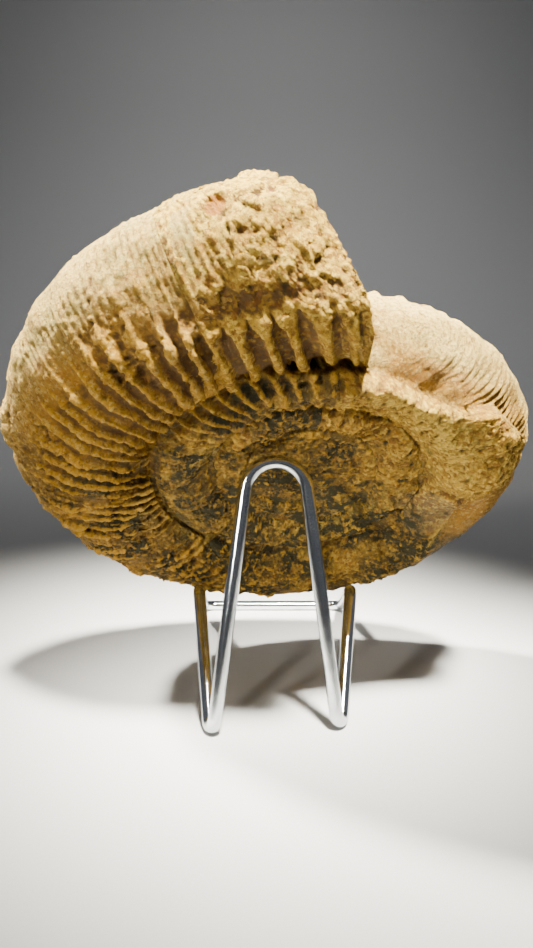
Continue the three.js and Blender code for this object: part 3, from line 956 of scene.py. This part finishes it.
# The rock on the near flank
# Coarse limestone that was never cleaned off: it fills the coil's middle and lies in a crumbling
# crust over the lower right flank, where it ends in a step. It has grown to the shell.
def disc(cells, edge_phi, edge_r):
    """A square grid drawn out to a round one, so that all its cells have nearly the same size: the
    share of the way out, the turn and the radius. Its edge lies at these radii, made even."""
    u, v = np.meshgrid(np.linspace(-1, 1, cells), np.linspace(-1, 1, cells))
    disc_x, disc_y = u * np.sqrt(1 - v * v / 2), v * np.sqrt(1 - u * u / 2)
    share = np.hypot(disc_x, disc_y)
    phi = (np.arctan2(disc_y, disc_x) - COIL_START) % TURN
    even = np.convolve(np.pad(edge_r[:-1], 8, "wrap"), np.ones(17) / 17, "valid")
    return share, phi, share * np.interp(phi, edge_phi[:-1], even, period=TURN)


def flank(phi, r, turns, hub):
    """Height of one side over the coil's middle plane: the highest of the hub and the turns. The
    second value says which turn that is, and is the number of turns on the hub."""
    height = hub * np.sqrt(np.clip(1 - (r / HUB_RADIUS) ** 2, 0, 1))
    which = np.full(phi.shape, turns)
    for turn in range(turns):
        rim = RADIUS * SHRINK ** (-phi / TURN - turn)
        across = np.abs(r - (1 - WHORL_DEPTH) * rim) / (WHORL_DEPTH * rim)
        here = WHORL_WIDTH * rim * np.clip(1 - across**ROUNDNESS, 0, 1) ** (1 / ROUNDNESS)
        which = np.where(here > height, turn, which)
        height = np.maximum(height, here)
    return height, which


def joints(which, phi):
    """Where one whorl meets the next: the jumps of the number of turns, spread over a few cells."""
    along = which + phi / TURN
    jump = np.abs(np.gradient(along, axis=0)) + np.abs(np.gradient(along, axis=1))
    for _ in range(3):
        jump = sum([np.roll(jump, step, axis) for axis in (0, 1) for step in (1, -1)], jump) / 3
    return jump


MIDDLE_CELLS = 290
EDGE_POINTS = 721
UNDER_BREAK = (3, 97, 12, 10, 1)  # a spot where the rock is thickest and meets that of the break
edge_phi = np.linspace(0, TURN, EDGE_POINTS)
# The piece begins a little outside the seam and the crust's edge, most of all by the break.
edge_beta = (middle_edge(edge_phi) - 7 - 6 * np.exp(-(((from_break(edge_phi) + 4) / 12) ** 2))) * DEG
share, phi, r = disc(MIDDLE_CELLS, edge_phi, SKELETON + reach(edge_phi, edge_beta) * np.cos(edge_beta))
level, which = flank(phi, r, TURNS, HUB_DEPTH)
base = at_radius(phi, r, level)
beta = np.arctan2(level, r - SKELETON)
cover = crust_cover(phi, beta)
outward = normals(base)
broken, pit = rock(base)
# Ribs of the whorls before: they lean, and grow smaller inwards.
inner_ribs = narrow_wave(60 * phi - 0.28 * (r - 45), 1.3) * np.choose(which, [0, 1.0, 0.35, 0.1, 0])
inner_ribs = inner_ribs * np.interp(from_break(phi), [-60, -25, -10, 45, 70], [0, 0.8, 1, 1, 0.2])
outer_ribs = np.where(which == 0, ribs(phi, beta, phi), 0)
joint = smooth(joints(which, phi), 0.02, 0.8)
# The flakes' outlines are crooked, and their faces smoother than the rock.
wander = 0.07 * grit(base, 7, 77, 2)
flake = smooth(spots(phi + wander, beta + 2 * wander, FLAKES), 0.4, 0.52)
broken = broken * (1 - 0.7 * flake)
rise = (1 - 0.6 * cover) * inner_ribs + (1 - cover) * outer_ribs
detail = (0.5 + 0.35 * cover) * broken + 1.1 * flake - 0.9 * joint * (1 - 0.6 * cover)
height = detail + rise + cover * crust_height(phi, beta, base)
height += lumps(phi, beta) + 0.5 * swell(base, 4) - 3.0 * smooth(share, 0.962, 0.995)
height += 3.4 * spots(phi, beta, [UNDER_BREAK])
points, faces = closed_patch(base + outward * height[..., None], np.zeros(3))
middle = mesh_piece("middle_rock", points, faces, rock_stone)
relief_shade, dirt_and_shade, pale, grey, rust, moss = patch_colours(base, phi, beta, detail + rise, pit)
hold(middle, relief_shade, np.maximum(dirt_and_shade, 0.9 * joint * (1 - 0.5 * cover)), pale, grey, rust, moss)
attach(middle, "root")
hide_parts("ammonite")


# The middle of the far side
# The side of the fossil that was cleaned: the inner whorls are bare here, each ribbed and sunk a
# little below the next, with dirt left in the seams between them. It is shell, like the flanks.
FAR_CELLS = 230
FAR_EDGE = 122 * DEG
FAR_TURNS = 7
FAR_HUB = 0.8  # mm
FAR_RIBS = [64, 64, 52, 40]  # in each turn
edge_beta = np.full(EDGE_POINTS, FAR_EDGE)
share, phi, r = disc(FAR_CELLS, edge_phi, SKELETON + reach(edge_phi, edge_beta) * np.cos(edge_beta))
level, which = flank(phi, r, FAR_TURNS, FAR_HUB)
base = at_radius(phi, r, -level)
beta = -np.arctan2(level, r - SKELETON)
outward = -normals(base)
grain, hole = shell_grain(base)
inner_ribs = narrow_wave(np.choose(np.minimum(which, 3), FAR_RIBS) * phi - 0.2 * (r - 45), 1.4)
lower = np.interp(which + phi / TURN, [1, 2, 3, 4, 5, 6, 7], [0.6, 0.48, 0.36, 0.24, 0.14, 0.07, 0])
inner_ribs = inner_ribs * (which > 0) * lower
outer_ribs = np.where(which == 0, ribs(phi, beta, phi), 0)
height = grain + inner_ribs + outer_ribs + 0.5 * swell(base, 4) + 0.25
height -= 2.6 * smooth(share, 0.95, 0.995)
points, faces = closed_patch(base + outward * height[..., None], np.zeros(3))
far_middle = mesh_piece("far_middle", points, [face[::-1] for face in faces], shell_stone)
# Painted highlight on the rib crests and painted shade between them.
relief_shade = 0.5 + 0.6 * (inner_ribs + outer_ribs)
dirt_and_shade = np.maximum(0.3 + 0.6 * hole, smooth(joints(which, phi), 0.05, 0.6))
hold(far_middle, relief_shade, dirt_and_shade, *[np.zeros(dirt_and_shade.shape)] * 4)
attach(far_middle, "root")
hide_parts("ammonite")
